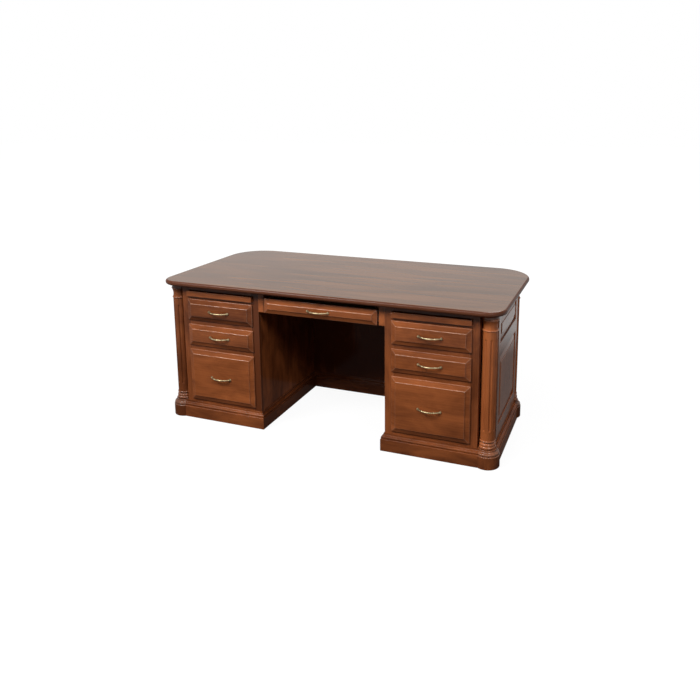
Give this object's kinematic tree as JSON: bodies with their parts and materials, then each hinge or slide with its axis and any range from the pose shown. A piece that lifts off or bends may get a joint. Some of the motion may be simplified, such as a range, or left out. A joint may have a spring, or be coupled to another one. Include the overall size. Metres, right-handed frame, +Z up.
{
  "type": "executive desk",
  "caption": "Double-pedestal wooden executive desk with raised-panel drawers, pull-out writing slides, fluted corner columns and a top that overhangs the visitor's side.",
  "frame": {"origin": "on the floor under the middle of the desk's top", "axes": "+X along the desk to the sitter's right, +Y from the sitter's side to the visitor's side, +Z up"},
  "size_m": [1.8288, 0.9144, 0.762],
  "materials": {
    "cherry": "stained cherry under a satin clear coat",
    "maple": "plain pale hardwood, thin clear coat",
    "brass": "aged satin brass",
    "steel": "zinc plated"
  },
  "bodies": {
    "case": {"back_frame": "cherry", "back_panels": "cherry", "base_back": "cherry", "base_blocks": "cherry", "base_ends": "cherry", "base_front": "cherry", "base_knee": "cherry", "case_runners": "steel", "centre_drawer_rails": "cherry", "columns": "cherry", "corner_posts": "cherry", "desk_top": "cherry", "drawer_liners": "maple", "face_frame_left": "cherry", "face_frame_right": "cherry", "knee_side_left": "cherry", "knee_side_right": "cherry", "modesty_panel": "cherry", "pedestal_floors": "maple", "runner_packers": "maple", "side_frame_left": "cherry", "side_frame_right": "cherry", "side_panels_left": "cherry", "side_panels_right": "cherry", "slide_guides": "maple", "top_cleats": "maple"},
    "drawer_top_left": {"front_top_left": "cherry", "box_top_left": "maple", "pull_top_left": "brass", "runner_top_left": "steel"},
    "drawer_top_right": {"front_top_right": "cherry", "box_top_right": "maple", "pull_top_right": "brass", "runner_top_right": "steel"},
    "drawer_middle_left": {"front_middle_left": "cherry", "box_middle_left": "maple", "pull_middle_left": "brass", "runner_middle_left": "steel"},
    "drawer_middle_right": {"front_middle_right": "cherry", "box_middle_right": "maple", "pull_middle_right": "brass", "runner_middle_right": "steel"},
    "drawer_file_left": {"front_file_left": "cherry", "box_file_left": "maple", "pull_file_left": "brass", "runner_file_left": "steel"},
    "drawer_file_right": {"front_file_right": "cherry", "box_file_right": "maple", "pull_file_right": "brass", "runner_file_right": "steel"},
    "drawer_centre": {"front_centre": "cherry", "box_centre": "maple", "pull_centre": "brass", "runner_centre": "steel"},
    "slide_left": {"writing_slide_left": "cherry"},
    "telescope_left": {"telescope_file_left": "steel"},
    "slide_right": {"writing_slide_right": "cherry"},
    "telescope_right": {"telescope_file_right": "steel"}
  },
  "joints": [
    {"name": "drawer_top_left_slide", "type": "slide", "parent": "case", "child": "drawer_top_left", "axis": [0, -1, 0], "range_m": [0, 0.4]},
    {"name": "drawer_top_right_slide", "type": "slide", "parent": "case", "child": "drawer_top_right", "axis": [0, -1, 0], "range_m": [0, 0.4]},
    {"name": "drawer_middle_left_slide", "type": "slide", "parent": "case", "child": "drawer_middle_left", "axis": [0, -1, 0], "range_m": [0, 0.4]},
    {"name": "drawer_middle_right_slide", "type": "slide", "parent": "case", "child": "drawer_middle_right", "axis": [0, -1, 0], "range_m": [0, 0.4]},
    {"name": "drawer_file_left_slide", "type": "slide", "parent": "case", "child": "drawer_file_left", "axis": [0, -1, 0], "range_m": [0, 0.53]},
    {"name": "drawer_file_right_slide", "type": "slide", "parent": "case", "child": "drawer_file_right", "axis": [0, -1, 0], "range_m": [0, 0.53]},
    {"name": "drawer_centre_slide", "type": "slide", "parent": "case", "child": "drawer_centre", "axis": [0, -1, 0], "range_m": [0, 0.33]},
    {"name": "writing_left_slide", "type": "slide", "parent": "case", "child": "slide_left", "axis": [0, -1, 0], "range_m": [0, 0.3]},
    {"name": "writing_right_slide", "type": "slide", "parent": "case", "child": "slide_right", "axis": [0, -1, 0], "range_m": [0, 0.3]},
    {"name": "telescope_left_slide", "type": "slide", "parent": "case", "child": "telescope_left", "axis": [0, -1, 0], "range_m": [0, 0.265]},
    {"name": "telescope_right_slide", "type": "slide", "parent": "case", "child": "telescope_right", "axis": [0, -1, 0], "range_m": [0, 0.265]}
  ],
  "couplings": [
    {"joint": "telescope_left_slide", "follows": "drawer_file_left_slide", "ratio": 0.5},
    {"joint": "telescope_right_slide", "follows": "drawer_file_right_slide", "ratio": 0.5}
  ]
}
